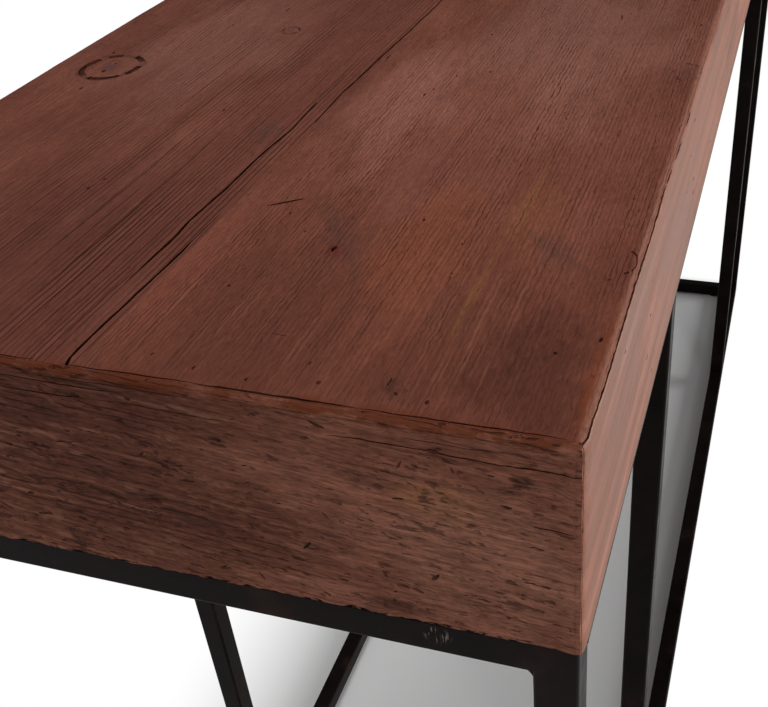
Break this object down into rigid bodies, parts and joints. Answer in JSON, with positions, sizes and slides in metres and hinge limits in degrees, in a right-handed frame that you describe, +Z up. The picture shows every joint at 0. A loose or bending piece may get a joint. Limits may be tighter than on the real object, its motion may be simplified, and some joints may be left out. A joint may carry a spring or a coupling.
{
  "type": "console table",
  "caption": "Narrow fixed-height timber table: a thick hollow mitred top of old boards on a welded frame of slim square steel tube with paired legs and floor-level rails.",
  "frame": {"origin": "on the floor under the middle of the table", "axes": "+X along the length towards the right end, +Y across the depth towards the rear, +Z up"},
  "size_m": [1.5, 0.41, 0.864],
  "materials": {
    "reclaimed_timber": "dark oiled, worn",
    "inner_timber": "bare sawn",
    "blackened_steel": "blackened, satin",
    "screw_steel": "zinc plated",
    "glide_nylon": "moulded"
  },
  "bodies": {
    "root": {"top_board_front": "reclaimed_timber", "top_board_rear": "reclaimed_timber", "front_apron": "reclaimed_timber", "rear_apron": "reclaimed_timber", "left_end_apron": "reclaimed_timber", "right_end_apron": "reclaimed_timber", "left_outer_batten": "inner_timber", "left_inner_batten": "inner_timber", "right_inner_batten": "inner_timber", "right_outer_batten": "inner_timber", "left_front_glue_block": "inner_timber", "left_rear_glue_block": "inner_timber", "right_front_glue_block": "inner_timber", "right_rear_glue_block": "inner_timber", "left_front_leg": "blackened_steel", "left_rear_leg": "blackened_steel", "right_front_leg": "blackened_steel", "right_rear_leg": "blackened_steel", "left_front_inner_leg": "blackened_steel", "left_rear_inner_leg": "blackened_steel", "right_front_inner_leg": "blackened_steel", "right_rear_inner_leg": "blackened_steel", "left_top_rail": "blackened_steel", "left_floor_rail": "blackened_steel", "right_top_rail": "blackened_steel", "right_floor_rail": "blackened_steel", "front_top_rail": "blackened_steel", "front_floor_rail": "blackened_steel", "rear_top_rail": "blackened_steel", "rear_floor_rail": "blackened_steel", "left_end_welds": "blackened_steel", "right_end_welds": "blackened_steel", "front_side_welds": "blackened_steel", "rear_side_welds": "blackened_steel", "frame_screws": "screw_steel", "batten_screws": "screw_steel", "floor_glides": "glide_nylon"}
  },
  "joints": []
}
